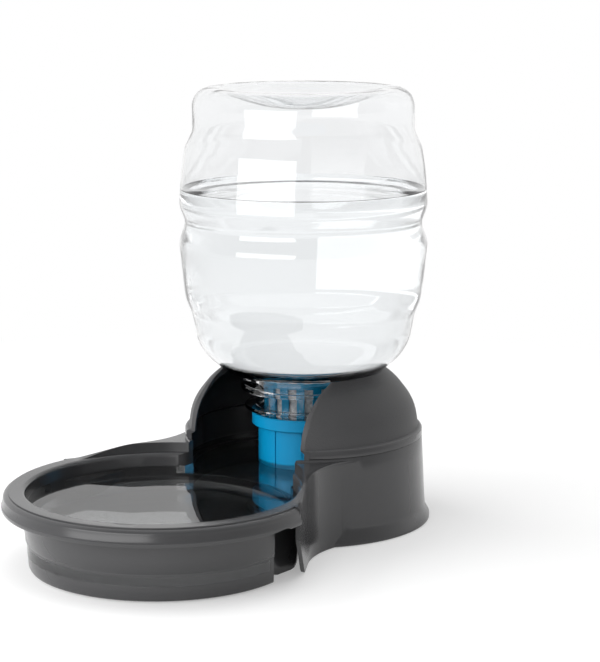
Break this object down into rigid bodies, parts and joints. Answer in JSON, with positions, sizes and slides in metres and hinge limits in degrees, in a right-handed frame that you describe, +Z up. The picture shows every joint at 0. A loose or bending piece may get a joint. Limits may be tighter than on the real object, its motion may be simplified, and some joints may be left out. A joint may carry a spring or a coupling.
{
  "type": "gravity pet water dispenser",
  "caption": "Gravity water dispenser for pets: an upside down clear bottle with a blue capped neck and filter stands on a hooded base that feeds a round drinking bowl.",
  "frame": {"origin": "middle of the footprint on the floor, under the foot pads", "axes": "+Z up, the bowl towards -Y and the bottle towards +Y, X across the bowl"},
  "size_m": [0.207, 0.34, 0.299],
  "materials": {
    "charcoal_plastic": "satin, fine grain on the hood",
    "clear_bottle": "clear",
    "blue_cap": "satin",
    "blue_cage": "satin",
    "white_filter": "matte fibre",
    "pad_rubber": "matte"
  },
  "bodies": {
    "root": {"base": "charcoal_plastic", "bottle": "clear_bottle", "cap": "blue_cap", "filter_cage": "blue_cage", "filter": "white_filter", "foot_pad_1": "pad_rubber", "foot_pad_2": "pad_rubber", "foot_pad_3": "pad_rubber", "foot_pad_4": "pad_rubber"}
  },
  "joints": []
}
